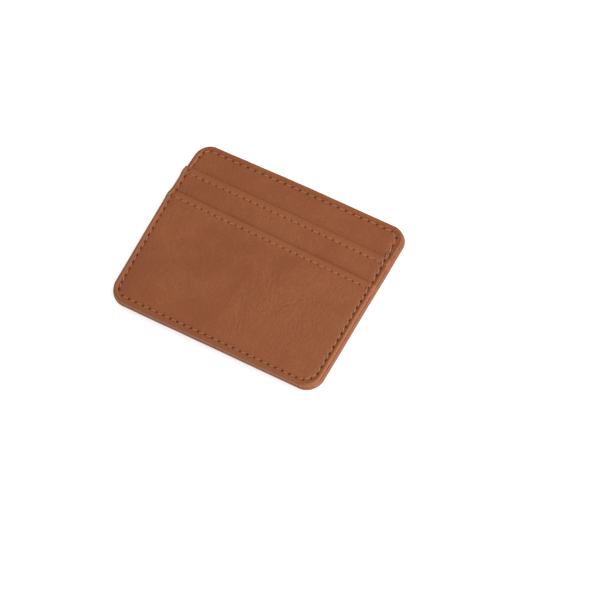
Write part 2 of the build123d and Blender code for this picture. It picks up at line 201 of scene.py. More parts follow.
sewing = {
    "inset": 2.25,  # the seam from each panel's own edge
    "rightInset": 2.2,
    "topBandInset": 2.6,
    "topRowInset": 2.5,
    "hemRowDrop": 2.45,  # a hem row below its mouth
    "hemStart": 1.3,  # its left and right ends from the seam
    "hemEnd": 1.0,
    "hemGroove": 0.3,  # share of the seam's depth, in a hem row's groove and its holes
    "hemHoles": 0.68,
    "seamPitch": 3.4,
    "topPitch": 3.65,
    "hemPitch": 3.3,
    "topCornerRadius": 1.8,
    "topRightRadius": 3.2,
    "bottomCornerRadius": 4.6,
    "bottomRightRadius": 6.2,
    "grooveDepth": 0.34,
    "grooveWidth": 0.46,
    "skirtDepth": 0.05,  # how far the leather beside the groove comes down with it
    "holeDepth": 0.5,
    "holeLength": 0.45,
    "holeWidth": 0.38,
    "holeTurn": 20,  # degrees that a hole is turned from its row
    "hemHoleTurn": -40,
    "drift": 0.18,  # how far a hole may be off its place, along the row and across it
    "wander": 0.12,
    "unevenDepth": 0.5,  # how much the holes differ in depth
    "leftDepth": 0.8,  # smaller down the left side, and larger and longer up the right side
    "rightDepth": 1.1,
    "rightLong": 1.3,
    "cornerLong": 1.9,  # the hole at the lower left corner is pulled long
    "tightDepth": 1.9,  # one stitch at the top left is pulled tight, and has torn its hole
    "tightShift": 0.7,
    "jog": 1.2,  # how far below a mouth the seam steps out to the next panel
    "backtackHeight": 2.4,  # the seam's ends above the upper mouth
    "slantTop": 6.9,  # the top band's left seam slants out from this height above the mouth
    "slantEnd": 0.2,  # and ends this far in from the upper pocket's seam
    "leftLean": 0.32,  # how far the left seam has moved in at its lower end
    "rightLean": 0.45,  # how far the right seam has moved in at its upper end
    "topLean": 0.75,  # and how much further the top row's right end leans in
    "rightEase": 0.55,  # how much shallower the right seam's groove is
}

seamRight = frontRight - sewing["rightInset"]
bodySeamLeft = bodyLow.x + sewing["topBandInset"]
upperSeamLeft = upperLow.x + sewing["inset"]
lowerSeamLeft = lowerLow.x + sewing["inset"]
seamBottomY = lowerLow.y + sewing["inset"]
topRowY = topEdge - sewing["topRowInset"]
backtackY = upperMouth + sewing["backtackHeight"]
leftEnd = (upperSeamLeft + sewing["slantEnd"], backtackY)
rightEnd = (seamRight - sewing["rightLean"], backtackY)

seamPath = roundedPath(
    [
        leftEnd, (upperSeamLeft, upperMouth - sewing["jog"]), (upperSeamLeft, lowerMouth),
        (lowerSeamLeft, lowerMouth - sewing["jog"]), (lowerSeamLeft + sewing["leftLean"], seamBottomY),
        (seamRight, seamBottomY), (seamRight, lowerMouth), rightEnd,
    ],
    [0, 2, 1, 1, sewing["bottomCornerRadius"], sewing["bottomRightRadius"], 20, 0],
)
topRowPath = roundedPath(
    [
        rightEnd, (rightEnd[0] - sewing["topLean"], topRowY), (bodySeamLeft, topRowY),
        (bodySeamLeft, upperMouth + sewing["slantTop"]), leftEnd,
    ],
    [0, sewing["topRightRadius"], sewing["topCornerRadius"], 2, 0],
)


def rowHoles(path, pitch, seed, depth=1.0, turn=sewing["holeTurn"]):
    # Evenly spaced holes, each a little off its place
    length = pathLength(path)
    count = round(length / pitch)
    holes = []
    for index in range(count + 1):
        drift = sewing["drift"] * waver(index * 1.7, seed, 0) if 0 < index < count else 0
        point, ahead = alongPath(path, length * index / count + drift)
        across = Vector((-ahead.y, ahead.x))
        wander = sewing["wander"] * waver(index * 1.3, seed, 7)
        pull = 1 + sewing["unevenDepth"] * waver(index * 0.83, seed, 11)
        onRight = ahead.y > 0.5
        if onRight:
            pull *= sewing["rightDepth"]
        elif ahead.y < -0.5:
            pull *= sewing["leftDepth"]
        holes.append({
            "at": point + across * wander,
            "onRight": onRight,
            "ahead": ahead,
            "along": Matrix.Rotation(radians(turn), 2) @ ahead,
            "long": sewing["rightLong"] if onRight else 1.0,
            "depth": depth * pull,
        })
    return holes


def hemRow(seamLeft, mouth, seed):
    y = mouth - sewing["hemRowDrop"]
    ends = [(seamLeft + sewing["hemStart"], y), (seamRight - sewing["hemEnd"], y)]
    path = roundedPath(ends, [0, 0])
    return path, rowHoles(path, sewing["hemPitch"], seed, sewing["hemHoles"], sewing["hemHoleTurn"])


seamHoles = rowHoles(seamPath, sewing["seamPitch"], 1)
topRowHoles = rowHoles(topRowPath, sewing["topPitch"], 2)
upperHemPath, upperHemHoles = hemRow(upperSeamLeft, upperMouth, 3)
lowerHemPath, lowerHemHoles = hemRow(lowerSeamLeft, lowerMouth, 4)

lowerLeft = Vector((lowerSeamLeft, seamBottomY))
cornerHole = min(seamHoles, key=lambda hole: (hole["at"] - lowerLeft).length)
cornerHole["along"] = cornerHole["ahead"]
cornerHole["long"] = sewing["cornerLong"]
tightHole = topRowHoles[-2]
tightHole["depth"] = sewing["tightDepth"]
tightHole["at"] += Vector((0, sewing["tightShift"]))


def placeTree(places):
    tree = KDTree(len(places))
    for index, place in enumerate(places):
        tree.insert((place.x, place.y, 0), index)
    tree.balance()
    return tree


def rowTree(rows, step=0.12):
    # Points along the rows, and how deep the groove is at each
    samples = []
    depths = []
    for path, depth in rows:
        length = pathLength(path)
        count = ceil(length / step)
        for index in range(count + 1):
            sample, ahead = alongPath(path, length * index / count)
            samples.append(sample)
            depths.append(depth * (1 - sewing["rightEase"] * max(ahead.y, 0)))
    return placeTree(samples), depths


# Leather panels: a rim strip bent round the outline, a finely cut middle, rolled mouths

leather = {
    "stationStep": 0.34,  # how finely the rim and the middle are cut
    "columnStep": 0.36,
    "rowStep": 1.3,
    "fineRowStep": 0.24,
    "fineReach": 1.15,  # cuts are fine this near a row of stitches, and this far below a mouth
    "fineMouth": 2.2,
    "thickness": 0.32,
    "rollDepth": 1.0,  # how far in the crest of the bead lies
    "rollEnd": 2.2,  # and where the bead has come down to the face
    "underRoll": 0.16,
    "crestRise": 0.27,
    "crestLean": 0.2,  # how much further out the crest lies on the right
    "leanStart": (0.1, 0.8),
    "leanEnd": (1.3, 2.4),
    "turnedIn": 1.25,
    "edgeWander": 0.07,
    "wanderFade": (1.5, 3.5),
    "crown": 0.2,  # how far the middle swells
    "crownStart": 0.6,  # beyond this distance from a row of stitches
    "crownReach": 2.4,
    "waves": ((0.05, 13), (0.018, 3.1)),  # height and size of the face's slow waves
    "rimWave": 0.03,
    "rumple": (0.34, 0, 0.75),
    "rumpleRing": (0.16, 1.1, 0.3),
    "coveredDrop": 0.5,  # the panel lies lower where a pocket covers it
    "coveredFade": (-3.0, -0.8),
}
pocketCut = {
    "leftDraw": 0.42,  # how far the sides are drawn in above the hem row
    "rightDraw": 0.08,
    "drawFade": (0.6, 2.2),
    "sewnBulge": (0.14, sewing["hemRowDrop"], 0.9),  # and stand out where that row's end is sewn down
    "sewnNotch": (0.24, sewing["hemRowDrop"], 0.32),
    "hemLift": 0.2,  # the doubled hem stands proud, with a rolled lip
    "hemFade": (3.3, 5.4),
    "lip": (0.34, 1.05, 0.85),
    "sideShare": 0.45,  # how much of that the bead takes part in
    "foldDepth": 0.95,
    # How far the mouth's fold goes forward, and down as a share of its depth
    "foldSteps": (
        (0.16, 0.03), (0.3, 0.12), (0.38, 0.28), (0.38, 0.5),
        (0.28, 0.74), (0.08, 0.92), (-0.5, 1.0), (-2.6, 1.0),
    ),
}
# Painted on the points for the leather's colours: the fold tint, painted sheen, and painted shade in holes,
# notches, hollows, rumples and under the mouths
paint = {
    "beadFold": 0.3,
    "rowFold": (0.25, 1.3, 0.6),
    "mouthFold": (0.95, 0.35, 0.85),
    # painted sheen on the hem's slope below the mouth
    "mouthPaintedSheen": (1.0, 1.85, 0.6),
    # painted sheen on the slope just inside the right seam
    "sidePaintedSheen": (0.6, 1.0, 0.55),
    "notch": 1.25,  # painted shade in the notch, as a share of the notch's depth
    "contactShadow": (0.46, 0.3, 0.5),  # painted contact shadow on the panel just above the mouth that covers it
    # painted shade in the hollow further above that mouth
    "hollowShade": (0.15, 1.8, 1.8),
    # painted shade in a ring round each rumple
    "rumple": (0.62, 1.1, 0.26),
    # painted shade on the mouth's fold as it turns under
    "underMouthShade": 0.35,
}
rollDegrees = (-90, -62, -38, -14, 8, 28, 46, 62, 76, 90)
topInsets = (1.2, 1.45, 1.65, 1.82, 1.97, 2.1, 2.22, 2.34, 2.46, 2.6, 2.76, 2.95, 3.2, 3.6, 4.2)


def rimSection(panel):
    # A turned edge's section from its underside round the bead to the face: inset, height, the outward
    # normal's two parts, and 0 on the bead to 1 on the face
    seamZ = panel["seamZ"]
    half = (panel["faceZ"] + leather["crestRise"] - seamZ) / 2
    section = [(leather["turnedIn"], seamZ, 0.0, -1.0, 0.0)]
    section += [(inset, seamZ - climb, 0.7, -0.7, 0.0) for inset, climb in panel.get("fillet", ())]
    for degrees in rollDegrees:
        out, up = cos(radians(degrees)), sin(radians(degrees))
        reach = panel.get("underRoll", leather["underRoll"]) if degrees < 0 else leather["rollDepth"]
        section.append((reach * (1 - out), seamZ + half + half * up, out, up, smoothStep(degrees, 25, 90)))
    for inset in topInsets:
        settle = 1 - smoothStep(inset, leather["rollDepth"], leather["rollEnd"])
        section.append((inset, panel["faceZ"] + leather["crestRise"] * settle, 0.0, 1.0, 1.0))
    return section


def panelOutline(left, bottom, top, bottomRadius, topRadius=0):
    corners = [(left, top), (left, bottom), (frontRight, bottom), (frontRight, top)]
    radii = [topRadius, bottomRadius, bottomRadius, topRadius]
    return roundedPath(corners, radii, closed=topRadius > 0)


def sidePull(panel, point, inward):
    # A pocket's edge is drawn in above its hem row, and thicker where the row's end is sewn
    if "mouth" not in panel:
        return 0.0
    drop = panel["mouth"] - point.y
    side = pocketCut["leftDraw"] if inward.x > 0 else pocketCut["rightDraw"]
    draw = side * (1 - smoothStep(drop, *pocketCut["drawFade"]))
    return (draw - ridge(drop, pocketCut["sewnBulge"])) * abs(inward.x)


def buildRim(bm, panel, section, closed):
    path = panel["path"]
    length = pathLength(path)
    stations = round(length / leather["stationStep"])
    rings = len(section) - 1
    bmesh.ops.create_grid(bm, x_segments=stations, y_segments=rings, size=0.5)
    ring = bm.verts.layers.float.new("ring")
    outward = bm.verts.layers.float_vector.new("outward")
    for vert in bm.verts:
        inset, height, out, up, top = section[round((vert.co.y + 0.5) * rings)]
        point, ahead = alongPath(path, (vert.co.x + 0.5) * length)
        inward = Vector((-ahead.y, ahead.x))
        shift = leather["edgeWander"] * waver(point.x, point.y, seamHeight, 9)
        shift += sidePull(panel, point, inward)
        shift *= 1 - smoothStep(inset, *leather["wanderFade"])
        lean = smoothStep(inset, *leather["leanStart"])
        lean *= 1 - smoothStep(inset, *leather["leanEnd"])
        shift -= leather["crestLean"] * max(-inward.x, 0) * lean
        vert[ring] = top
        vert[outward] = Vector((-inward.x * out, -inward.y * out, up))
        vert.co = (*(point + inward * (inset + shift)), height)
    if closed:
        bmesh.ops.remove_doubles(bm, verts=bm.verts, dist=0.001)


def openEdges(bm, axis, place, reach):
    return [e for e in bm.edges if e.is_boundary and all(abs(v.co[axis] - place) < reach for v in e.verts)]


def extent(verts):
    places = [v.co for v in verts]
    return [[pick(place[axis] for place in places) for axis in (0, 1)] for pick in (min, max)]


def only(items, kind):
    return [item for item in items if isinstance(item, kind)]


def cutMiddle(bm, faces, panel):
    # Columns are cut first, while there are few faces
    (left, bottom), (right, top) = extent(v for f in faces for v in f.verts)
    parts = list(faces)
    columns = round((right - left) / panel["columnStep"])
    cuts = [((left + (right - left) * i / columns, 0, 0), (1, 0, 0)) for i in range(1, columns)]
    y = top - 0.15
    while y > bottom + 0.2:
        cuts.append(((0, y, 0), (0, 1, 0)))
        fine = any(abs(y - row) < leather["fineReach"] for row in panel["fineRows"])
        fine = fine or ("mouth" in panel and top - y < leather["fineMouth"])
        y -= leather["fineRowStep"] if fine else leather["rowStep"]
    for place, normal in cuts:
        edges = dict.fromkeys(e for f in parts for e in f.edges)
        verts = dict.fromkeys(v for f in parts for v in f.verts)
        cut = bmesh.ops.bisect_plane(
            bm, geom=[*verts, *edges, *parts], dist=0.0001, plane_co=place, plane_no=normal
        )
        parts = only(cut["geom"], BMFace)


def bakeMesh(bm, name):
    mesh = bpy.data.meshes.new(name)
    bm.to_mesh(mesh)
    bm.free()
    return mesh


def addObject(name, data):
    thing = bpy.data.objects.new(name, data)
    bpy.context.scene.collection.objects.link(thing)
    return thing


def finishMesh(bm, name, material, body, skewed=False):
    if skewed:
        for vert in bm.verts:
            vert.co += askew(vert.co)
    bmesh.ops.scale(bm, vec=(mm,) * 3, verts=bm.verts)
    for face in bm.faces:
        face.smooth = True
    mesh = bakeMesh(bm, name)
    mesh.materials.append(material)
    piece = addObject(name, mesh)
    if body:
        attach(piece, body)
    return piece


def thicken(piece, name, thickness):
    solid = piece.modifiers.new(name, "SOLIDIFY")
    solid.thickness = thickness * mm
    solid.offset = -1


def growEdges(bm, edges):
    # Extrudes a chain of edges, and gives the new chain and its points
    made = bmesh.ops.extrude_edge_only(bm, edges=edges)["geom"]
    verts = only(made, BMVert)
    fresh = set(verts)
    return [e for e in only(made, BMEdge) if all(v in fresh for v in e.verts)], verts


def leatherPanel(kind, panel):
    closed = "mouth" not in panel
    section = rimSection(panel)
    bm = bmesh.new()
    buildRim(bm, panel, section, closed)
    inner = openEdges(bm, 2, section[-1][1], 0.001)
    if not closed:
        chain = dict.fromkeys(v for e in inner for v in e.verts)
        ends = [v for v in chain if sum(e in inner for e in v.link_edges) == 1]
        inner.append(bm.edges.new(ends))
    cutMiddle(bm, bmesh.ops.contextual_create(bm, geom=inner)["faces"], panel)
    shapeLeather(bm, panel)
    if not closed:
        rollMouth(bm, panel)
    bmesh.ops.recalc_face_normals(bm, faces=bm.faces)
    if panel.get("faceDown"):
        for vert in bm.verts:
            vert.co.z = panel["flipAbout"] - vert.co.z
        bmesh.ops.reverse_faces(bm, faces=bm.faces)
    piece = finishMesh(bm, kind + "_leather", leatherTan, "case", skewed=True)
    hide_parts(kind + "_panel")
    thicken(piece, "leather_thickness", leather["thickness"])
    return piece


def holePit(hole, x, y):
    # How deep the hole's pit is there, and how far across the hole
    offset = Vector((x, y)) - hole["at"]
    lengthwise = offset.dot(hole["along"]) / (sewing["holeLength"] * hole["long"])
    sideways = offset.cross(hole["along"]) / sewing["holeWidth"]
    return hole["depth"] * exp(-(lengthwise ** 2 + sideways ** 2) ** 1.5), sideways


def shapeLeather(bm, panel):
    ring = bm.verts.layers.float["ring"]
    outward = bm.verts.layers.float_vector["outward"]
    # the first layer holds painted shade and shine holds painted sheen; fold marks the fold tint and edge
    # the beads
    paintedShade, fold, edge, shine = (
        bm.verts.layers.float.new(name) for name in ("paintedShade", "fold", "edge", "shine")
    )
    rows, depths = rowTree(panel["rows"])
    holes = placeTree([hole["at"] for hole in panel["holes"]])
    for vert in bm.verts:
        x, y = vert.co.x, vert.co.y
        top = vert[ring]
        if vert[outward].length < 0.5:
            vert[outward] = (0, 0, 1)
        normal = vert[outward].normalized()
        _, nearest, rowDistance = rows.find((x, y, 0))
        hole = panel["holes"][holes.find((x, y, 0))[1]]
        pit, sideways = holePit(hole, x, y)
        dent = depths[nearest] * sewing["grooveDepth"] * bump(rowDistance, sewing["grooveWidth"])
        dent += depths[nearest] * sewing["skirtDepth"] * exp(-rowDistance)
        dent += sewing["holeDepth"] * pit
        dent /= (1 + (dent / panel["deepest"]) ** 4) ** 0.25
        inside = 1 - exp(-max(rowDistance - leather["crownStart"], 0) / leather["crownReach"])
        swell = leather["crown"] * (1 + depths[nearest] * (inside - 1))
        for height, size in leather["waves"]:
            swell += height * waver(x, y, panel["faceZ"] * 3, size)
        rise = top * (swell - dent)
        # painted shade in the stitch holes
        vert[paintedShade] = min(1.0, pit)
        # painted sheen on the slope just inside the right seam
        if hole["onRight"] and sideways < 0:
            vert[shine] = top * ridge(rowDistance, paint["sidePaintedSheen"])
        vert[edge] = 1 - top
        vert[fold] = paint["beadFold"] * (1 - top) + top * ridge(rowDistance, paint["rowFold"])
        if "mouth" in panel:
            drop = panel["mouth"] - y
            proud = pocketCut["hemLift"] * (1 - smoothStep(drop, *pocketCut["hemFade"]))
            proud += ridge(drop, pocketCut["lip"])
            proud *= pocketCut["sideShare"] + (1 - pocketCut["sideShare"]) * top
            notch = ridge(drop, pocketCut["sewnNotch"]) * (1 - top)
            rise += proud - notch
            # painted shade in the notch where the hem row's end is sewn down
            vert[paintedShade] = max(vert[paintedShade], paint["notch"] * notch)
            vert[fold] = max(vert[fold], ridge(drop, paint["mouthFold"]))
            # painted sheen on the hem's slope below the mouth
            vert[shine] = max(vert[shine], top * ridge(drop, paint["mouthPaintedSheen"]))
        if "coveredBelow" in panel:
            clear = y - panel["coveredBelow"]
            rise -= leather["coveredDrop"] * (1 - smoothStep(clear, *leather["coveredFade"]))
            # painted contact shadow just above a covering mouth, and painted shade in the hollow above it
            shade = max(ridge(clear, paint["contactShadow"]), ridge(clear, paint["hollowShade"]))
            vert[paintedShade] = max(vert[paintedShade], shade)
        for middle in panel.get("rumples", ()):
            beyond = (Vector((x, y)) - Vector(middle)).length
            rise += ridge(beyond, leather["rumple"]) - ridge(beyond, leather["rumpleRing"])
            # painted shade in a ring round the rumple
            vert[paintedShade] = max(vert[paintedShade], ridge(beyond, paint["rumple"]))
        if "gape" in panel:
            span = max(0.0, 1 - (x / 44) ** 2)
            rise += panel["gape"] * span * span * smoothStep(y, 22, topEdge)
        rise += leather["rimWave"] * waver(x, y, vert.co.z, 1.7) * (1 - top)
        vert.co += normal * rise


def rollMouth(bm, panel):
    # The mouth's edge is folded forward and under, from seam to seam
    outward = bm.verts.layers.float_vector["outward"]
    home = bm.verts.layers.float_vector.new("home")
    fold = bm.verts.layers.float["fold"]
    paintedShade = bm.verts.layers.float["paintedShade"]
    rim = openEdges(bm, 1, panel["mouth"], 0.02)
    for edge in rim:
        for vert in edge.verts:
            vert[home] = vert.co
    for ahead, down in pocketCut["foldSteps"]:
        rim, verts = growEdges(bm, rim)
        for vert in verts:
            normal = vert[outward].normalized()
            vert.co = vert[home] + Vector((0, ahead, 0)) - normal * (pocketCut["foldDepth"] * down)
            vert[fold] = 1.0 - 0.5 * down
            # painted shade, deeper as the fold goes under
            vert[paintedShade] = paint["underMouthShade"] * down


print("stage: leather materials")


def newTree(owner):
    owner.use_nodes = True
    owner.node_tree.nodes.clear()
    return owner.node_tree


def newMaterial(name):
    material = bpy.data.materials.new(name)
    return material, newTree(material)


def addNode(tree, kind, inputs=None, **settings):
    # An input is a number, a colour, some numbers or another node's output
    node = tree.nodes.new("ShaderNode" + kind)
    for name, value in settings.items():
        setattr(node, name, value)
    for name, value in (inputs or {}).items():
        socket = node.inputs[name]
        if isinstance(value, bpy.types.NodeSocket):
            tree.links.new(value, socket)
        else:
            socket.default_value = (*value, 1) if socket.type == "RGBA" else value
    return node


def dress(material, inputs):
    shader = addNode(material.node_tree, "BsdfPrincipled", inputs)
    addNode(material.node_tree, "OutputMaterial", {"Surface": shader.outputs["BSDF"]})
    return material


def objectPlace(tree, scale=(1, 1, 1), turn=0.0, middle=(0, 0), way="POINT"):
    inputs = {"Vector": addNode(tree, "TexCoord").outputs["Object"], "Scale": scale}
    inputs.update({"Location": (*middle, 0), "Rotation": (0, 0, radians(turn))})
    return addNode(tree, "Mapping", inputs, vector_type=way).outputs["Vector"]


def noiseAt(tree, place, scale, detail=3.0, roughness=0.55, distortion=0.0, output="Fac"):
    inputs = {"Vector": place, "Scale": scale, "Detail": detail, "Roughness": roughness}
    return addNode(tree, "TexNoise", {**inputs, "Distortion": distortion}).outputs[output]


def spread(tree, value, low, high, toLow=0.0, toHigh=1.0):
    inputs = {"Value": value, "From Min": low, "From Max": high, "To Min": toLow, "To Max": toHigh}
    return addNode(tree, "MapRange", inputs, interpolation_type="SMOOTHSTEP").outputs["Result"]


def calculate(tree, operation, first, second=0.0):
    return addNode(tree, "Math", {0: first, 1: second}, operation=operation).outputs["Value"]


def times(tree, first, second):
    return calculate(tree, "MULTIPLY", first, second)


def blendTones(tree, share, first, second):
    inputs = {"Factor": share, "A": first, "B": second}
    return addNode(tree, "Mix", inputs, data_type="RGBA").outputs["Result"]


def meshValue(tree, name):
    return addNode(tree, "Attribute", attribute_type="GEOMETRY", attribute_name=name).outputs["Fac"]


def reliefFrom(tree, height, distance, strength=1.0, onto=None):
    inputs = {"Height": height, "Distance": distance, "Strength": strength}
    if onto:
        inputs["Normal"] = onto
    return addNode(tree, "Bump", inputs).outputs["Normal"]


def cellGrain(tree, place, scale, low, high):
    # Small rounded grains, highest in each cell's middle
    cells = addNode(tree, "TexVoronoi", {"Vector": place, "Scale": scale})
    return spread(tree, cells.outputs["Distance"], low, high, 1.0, 0.0)


def wrinkles(tree, scale, turn, width, bend=1.1):
    # Fine creases that run one way: the edges of long cells, wavered by noise
    place = objectPlace(tree, scale, turn)
    sway = noiseAt(tree, place, bend, roughness=0.5, output="Color")
    inputs = {0: sway, 1: (bend,) * 3, 2: place}
    moved = addNode(tree, "VectorMath", inputs, operation="MULTIPLY_ADD").outputs["Vector"]
    inputs = {"Vector": moved, "Scale": 1.0}
    cells = addNode(tree, "TexVoronoi", inputs, feature="DISTANCE_TO_EDGE")
    return spread(tree, cells.outputs["Distance"], 0.0, width, 1.0, 0.0)


def creaseLines(tree, middle, turn, size, weight):
    # Long thin ridges side by side that fade out in a stretched round patch
    patch = objectPlace(tree, (size[0] / 2, size[1] / 2, 1), turn, middle, "TEXTURE")
    reach = addNode(tree, "VectorMath", {0: patch}, operation="LENGTH").outputs["Value"]
    fade = spread(tree, reach, 0.2, 1.25, weight, 0.0)
    stretch = addNode(tree, "Mapping", {"Vector": patch, "Scale": (size[0] * 45, size[1] * 230, 1)})
    bands = noiseAt(tree, stretch.outputs["Vector"], 1.0, 3.0, 0.5, 0.6)
    ridge = calculate(tree, "ABSOLUTE", calculate(tree, "SUBTRACT", bands, 0.5))
    return times(tree, spread(tree, ridge, 0.0, 0.16, 1.0, 0.0), fade)


tanLeather = {
    "shadeRed": (0.29, 0.077, 0.0205),
    "shadeMid": (0.318, 0.09, 0.0245),
    "shadePale": (0.354, 0.107, 0.0315),
    "foldTint": (0.369, 0.096, 0.016),
    # tone of the painted sheen
    "paintedSheenTint": (0.336, 0.107, 0.038),
    # tone of the painted shade
    "paintedShadeTint": (0.085, 0.017, 0.005),
    "fleckTint": (0.235, 0.064, 0.02),
    "edgeWearAndSheenTint": (0.27, 0.094, 0.036),  # beads are painted paler, partly rubbed wear and partly painted sheen, and glossier
    "edgePolish": 0.08,
    "patchScale": 60.0,
    "driftScale": 22.0,
    "fleckScale": 1100.0,
    "pebbleScale": 900.0,
    "grainScale": 2100.0,
    "roughness": (0.47, 0.59),
    "gloss": 0.42,
}

# Creases pressed into the lower pocket: middle, direction in degrees, size in metres, weight
creaseFields = (
    ((0.009, -0.002), -67, (0.028, 0.0065), 1.0),
    ((0.0055, -0.024), -69, (0.024, 0.005), 0.9),
    ((0.0185, -0.013), 50, (0.025, 0.0065), 1.0),
    ((0.002, -0.002), -60, (0.011, 0.0036), 1.0),
    ((0.028, -0.014), -66, (0.024, 0.005), 0.8),
    ((-0.006, -0.016), 24, (0.036, 0.017), 0.6),
    ((0.018, 0.001), 27, (0.024, 0.01), 0.7),
    ((0.024, -0.006), 35, (0.022, 0.011), 0.7),
    ((0.034, -0.01), -52, (0.026, 0.012), 0.5),
)


def makeLeather(name, tones):
    material, tree = newMaterial(name)
    place = objectPlace(tree)
    patches = spread(tree, noiseAt(tree, place, tones["patchScale"], 5.0, 0.62, 0.35), 0.32, 0.7)
    drift = spread(tree, noiseAt(tree, place, tones["driftScale"], 2.0), 0.35, 0.65)
    fleck = spread(tree, noiseAt(tree, place, tones["fleckScale"]), 0.3, 0.7)
    colour = blendTones(tree, patches, tones["shadeRed"], tones["shadePale"])
    for share, tint in (
        (times(tree, drift, 0.45), "shadeMid"),
        (times(tree, fleck, 0.42), "fleckTint"),
        (times(tree, meshValue(tree, "fold"), 0.52), "foldTint"),
        # painted sheen
        (meshValue(tree, "shine"), "paintedSheenTint"),
        # the beads' tint: partly rubbed wear, partly painted sheen
        (times(tree, meshValue(tree, "edge"), 0.5), "edgeWearAndSheenTint"),
        # painted shade in holes, notches, hollows, round rumples and under the mouths
        (spread(tree, meshValue(tree, "paintedShade"), 0.05, 0.85), "paintedShadeTint"),
    ):
        colour = blendTones(tree, share, colour, tones[tint])
    where = spread(tree, noiseAt(tree, place, 45.0, 2.0), 0.46, 0.66, 0.0, 0.38)
    lines = times(tree, wrinkles(tree, (700, 150, 1), -24, 0.16), where)
    for field in creaseFields:
        lines = calculate(tree, "ADD", lines, creaseLines(tree, *field))
    normal = None
    for height, distance, strength in (
        (cellGrain(tree, place, tones["grainScale"], 0.0, 0.9), 0.000022, 0.7),
        (cellGrain(tree, place, tones["pebbleScale"], 0.1, 0.8), 0.00003, 0.6),
        (times(tree, lines, -1.0), 0.00014, 0.85),
        (noiseAt(tree, place, 560.0, 4.0, 0.6), 0.00024, 0.8),
    ):
        normal = reliefFrom(tree, height, distance, strength, normal)
    rough = spread(tree, noiseAt(tree, place, 300.0), 0.3, 0.7, *tones["roughness"])
    polish = times(tree, meshValue(tree, "edge"), tones["edgePolish"])
    return dress(material, {
        "Base Color": colour,
        "Normal": normal,
        "Roughness": calculate(tree, "SUBTRACT", rough, polish),
        "Specular IOR Level": tones["gloss"],
    })


leatherTan = makeLeather("tan_leather", tanLeather)

print("stage: leather panels")


def pocket(low, face, mouth, bottom, bottomRadius, holes, hemPath, **more):
    return {
        "path": panelOutline(low.x, bottom, mouth, bottomRadius),
        "faceZ": face,
        "mouth": mouth,
        "rows": ((seamPath, 1.0), (hemPath, sewing["hemGroove"])),
        "holes": seamHoles + holes,
        "columnStep": leather["columnStep"],
        **more,
    }


sewnAround = {"rows": ((seamPath, 1.0), (topRowPath, 1.0)), "holes": seamHoles + topRowHoles}

bodyPanel = {
    "path": panelOutline(bodyLow.x, bodyLow.y, topEdge, 6.8, 6.5),
    "seamZ": seamHeight + 0.04,
    "faceZ": bodyHigh.z,
    **sewnAround,
    "columnStep": 1.0,
    "fineRows": [upperMouth + 0.5],
    "deepest": 0.46,  # the board beneath stops the leather here
    "coveredBelow": upperMouth,
    "rumples": ((leftEnd[0] - 0.1, backtackY - 0.1), (rightEnd[0] - 0.3, backtackY - 0.3)),
    "gape": 0.3,  # how far its middle stands up along the top
}
upperPocket = pocket(
    upperLow, upperFace, upperMouth, upperLow.y, 7.15, upperHemHoles, upperHemPath,
    seamZ=seamHeight + 0.02,
    fineRows=[upperMouth - sewing["hemRowDrop"], lowerMouth + 0.5],
    deepest=0.75,
    coveredBelow=lowerMouth,
)
lowerPocket = pocket(
    lowerLow, lowerFace, lowerMouth, lowerLow.y - frontOverhang, 7.5, lowerHemHoles, lowerHemPath,
    seamZ=seamHeight,
    fineRows=[lowerMouth - sewing["hemRowDrop"]],
    deepest=0.8,
)

bodyLeather = leatherPanel("front_body", bodyPanel)
upperLeather = leatherPanel("upper_pocket", upperPocket)
lowerLeather = leatherPanel("lower_pocket", lowerPocket)

backWaistX = backHigh.x - 1.3  # its sides go in towards the top
backBottom = backLow.y + 0.1
backPanel = {
    "path": roundedPath(
        [
            (-backWaistX, backHigh.y), (-backWaistX, upperMouth), (backLow.x, lowerMouth),
            (backLow.x, backBottom), (backHigh.x, backBottom), (backHigh.x, backHigh.y),
        ],
        [6.5, 13.8, 13.8, 8.0, 8.0, 6.5],
        True,
    ),
    "seamZ": 0.0,
    "faceZ": seamHeight - backLow.z,
    **sewnAround,
    "columnStep": 1.6,
    "fineRows": [],
    "deepest": 0.5,
    "underRoll": 0.42,  # its bead is round on the seam's side too
    # and pressed up against the front: inset and height of each step
    "fillet": ((1.0, 0.8), (0.8, 0.75), (0.68, 0.45), (0.58, 0.2), (0.5, 0.06)),
    "faceDown": True,
    "flipAbout": seamHeight - 0.02,
}
backLeather = leatherPanel("back_body", backPanel)

print("stage: threads")

thread = {
    "radius": 0.25,
    "strandRelief": 0.14,  # share of the radius by which the two plies stand out
    "twist": 450.0,  # degrees over one stitch
    "endSize": 0.55,  # its ends are thinner than its middle and painted darker as shade
    "endShade": 0.4,
    "rings": 9,
    "sides": 8,
    "ride": 0.06,  # the thread's middle line above the leather
    "dip": 0.42,  # how deep its ends go into the holes
    "gap": 0.4,  # how far from a hole's middle its ends lie
    "slant": 0.18,
    "sideSlant": 0.16,
    "sideShift": -0.2,
    "sideSwell": 0.25,
    "uneven": 0.3,  # how much the stitches differ in thickness
    "unevenSize": 0.61,
    "hemShare": 0.82,  # the hem rows' thread is pulled in flatter
    "tone": (0.525, 0.23, 0.122),
    # tone of the painted shade between the plies and at the stitch ends
    "shade": (0.375, 0.138, 0.062),
}


def makeThreadFinish(name, tone, shade):
    material, tree = newMaterial(name)
    place = objectPlace(tree)
    # painted shade from the ply layer blended into the thread's tone
    colour = blendTones(tree, spread(tree, meshValue(tree, "paintedPlyShade"), 0.15, 0.75), shade, tone)
    fluff = spread(tree, noiseAt(tree, place, 2600.0, 2.0), 0.35, 0.7)
    return dress(material, {
        "Base Color": blendTones(tree, times(tree, fluff, 0.25), colour, tone),
        "Normal": reliefFrom(tree, noiseAt(tree, place, 5200.0, 2.0), 0.00003, 0.6),
        "Roughness": 0.62,
        "Specular IOR Level": 0.3,
    })


